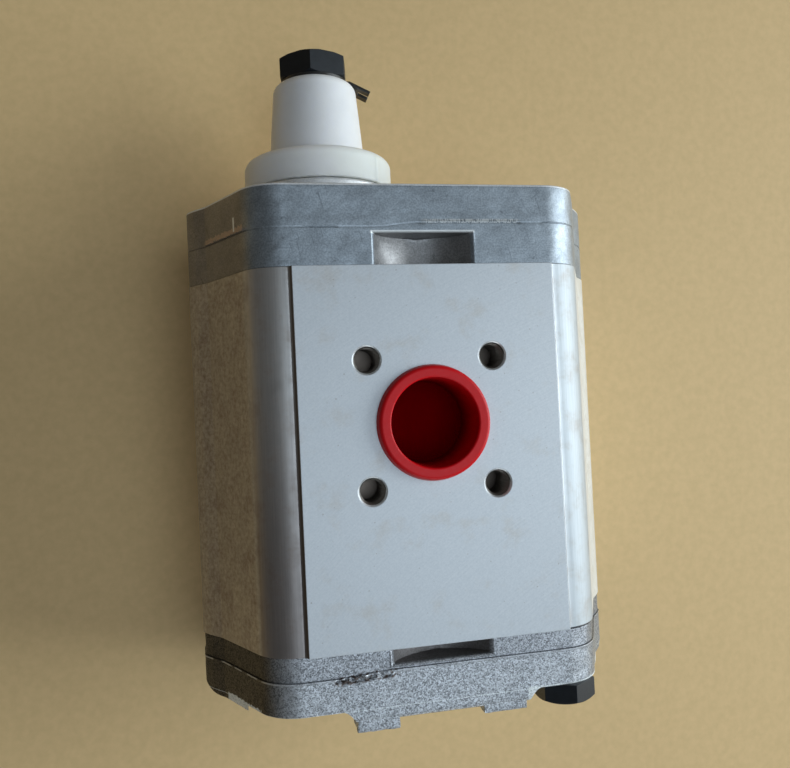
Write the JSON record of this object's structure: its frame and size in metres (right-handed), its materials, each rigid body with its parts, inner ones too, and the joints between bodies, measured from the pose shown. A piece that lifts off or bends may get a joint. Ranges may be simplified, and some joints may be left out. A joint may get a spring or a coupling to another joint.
{
  "type": "hydraulic gear pump",
  "caption": "External gear pump with through-bolted covers, tapered drive shaft under a guard cap, and plugged side ports in opposite milled pads.",
  "frame": {"origin": "on the drive shaft's axis, in the mounting face's plane", "axes": "+Y out of the pump along the shaft, +X from the drive gear to the driven gear, +Z out of the suction port; the pump lies on its pressure port face"},
  "size_m": [0.1406, 0.2192, 0.091],
  "materials": {
    "front_casting": "smooth die-cast skin",
    "body_extrusion": "extruded sides, milled port pads",
    "rear_casting": "grit-blasted casting",
    "gear_steel": "ground and case hardened",
    "seal_steel": "pressed and sprung steel",
    "spring_steel": "phosphated spring steel",
    "dowel_steel": "ground",
    "washer_steel": "dark oiled sheet steel",
    "black_steel": "black oxide, satin",
    "seal_rubber": "matt nitrile rubber",
    "white_plastic": "natural polyethylene, slightly translucent",
    "red_plastic": "soft polyethylene, satin",
    "block_aluminium": "machined",
    "bush_bronze": "sintered bronze on steel",
    "backup_plastic": "hard polymer"
  },
  "bodies": {
    "housing": {"front_cover": "front_casting", "pump_body": "body_extrusion", "rear_cover": "rear_casting", "shaft_seal_case": "seal_steel", "shaft_seal_lip": "seal_rubber", "garter_spring": "seal_steel", "seal_circlip": "spring_steel", "spigot_o_ring": "seal_rubber", "clamp_bolts": "black_steel", "front_dowels": "dowel_steel", "rear_dowels": "dowel_steel", "front_bearing_block": "block_aluminium", "front_drive_bush": "bush_bronze", "front_driven_bush": "bush_bronze", "front_pressure_seal": "seal_rubber", "front_backup_ring": "backup_plastic", "front_joint_seal": "seal_rubber", "rear_bearing_block": "block_aluminium", "rear_drive_bush": "bush_bronze", "rear_driven_bush": "bush_bronze", "rear_pressure_seal": "seal_rubber", "rear_backup_ring": "backup_plastic", "rear_joint_seal": "seal_rubber"},
    "drive_shaft": {"drive_gear_shaft": "gear_steel", "woodruff_key": "gear_steel", "shaft_guard_cap": "white_plastic", "tab_washer": "washer_steel", "shaft_nut": "black_steel"},
    "driven_gear": {"driven_gear_shaft": "gear_steel"},
    "suction_plug": {"suction_port_plug": "red_plastic"},
    "pressure_plug": {"pressure_port_plug": "red_plastic"}
  },
  "joints": [
    {"name": "drive_shaft_spin", "type": "hinge", "parent": "housing", "child": "drive_shaft", "pos_m": [0, 0, 0], "axis": [0, 1, 0], "continuous": true},
    {"name": "driven_gear_spin", "type": "hinge", "parent": "housing", "child": "driven_gear", "pos_m": [0.052, 0, 0], "axis": [0, 1, 0], "continuous": true},
    {"name": "suction_plug_pull", "type": "slide", "parent": "housing", "child": "suction_plug", "axis": [0, 0, 1], "range_m": [0, 0.03]},
    {"name": "pressure_plug_pull", "type": "slide", "parent": "housing", "child": "pressure_plug", "axis": [0, 0, -1], "range_m": [0, 0.03]}
  ],
  "couplings": [
    {"joint": "driven_gear_spin", "follows": "drive_shaft_spin", "ratio": -1}
  ]
}
